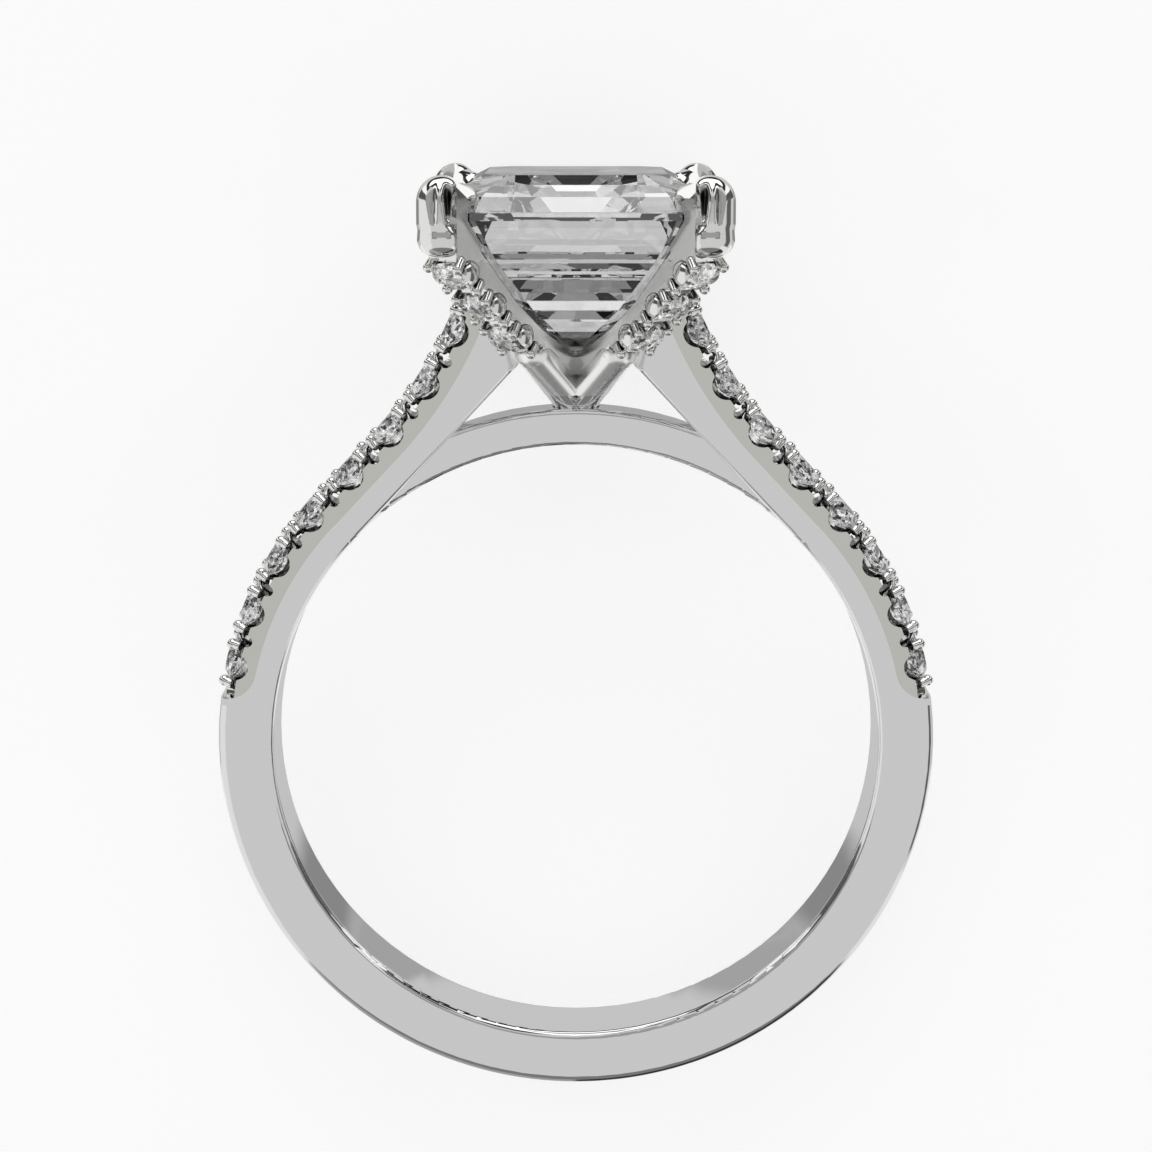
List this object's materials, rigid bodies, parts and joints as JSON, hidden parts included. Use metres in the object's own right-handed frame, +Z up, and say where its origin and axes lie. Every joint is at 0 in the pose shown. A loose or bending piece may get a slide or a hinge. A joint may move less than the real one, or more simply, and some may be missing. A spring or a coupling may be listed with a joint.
{
  "type": "cathedral solitaire ring",
  "caption": "Finger ring with a step-cut centre stone held by claws on raised arms, small round stones along the shoulders and arms, and a plain lower band.",
  "frame": {"origin": "bottom centre of the ring's box, as it lies on its side", "axes": "+Z up from the floor and nearly along the finger hole; +Y from the plain band towards the centre stone; +X across the hole"},
  "size_m": [0.0196, 0.0258, 0.0094],
  "materials": {
    "white_metal": "polished",
    "clear_stone": "polished, faceted"
  },
  "bodies": {
    "root": {"mounting": "white_metal", "centre_stone": "clear_stone", "left_shoulder_stone_1": "clear_stone", "left_shoulder_stone_2": "clear_stone", "left_shoulder_stone_3": "clear_stone", "left_shoulder_stone_4": "clear_stone", "left_shoulder_stone_5": "clear_stone", "left_shoulder_stone_6": "clear_stone", "left_shoulder_stone_7": "clear_stone", "left_shoulder_stone_8": "clear_stone", "right_shoulder_stone_1": "clear_stone", "right_shoulder_stone_2": "clear_stone", "right_shoulder_stone_3": "clear_stone", "right_shoulder_stone_4": "clear_stone", "right_shoulder_stone_5": "clear_stone", "right_shoulder_stone_6": "clear_stone", "right_shoulder_stone_7": "clear_stone", "right_shoulder_stone_8": "clear_stone", "front_left_arm_stone_1": "clear_stone", "front_left_arm_stone_2": "clear_stone", "front_left_arm_stone_3": "clear_stone", "front_right_arm_stone_1": "clear_stone", "front_right_arm_stone_2": "clear_stone", "front_right_arm_stone_3": "clear_stone", "back_left_arm_stone_1": "clear_stone", "back_left_arm_stone_2": "clear_stone", "back_left_arm_stone_3": "clear_stone", "back_right_arm_stone_1": "clear_stone", "back_right_arm_stone_2": "clear_stone", "back_right_arm_stone_3": "clear_stone"}
  },
  "joints": []
}
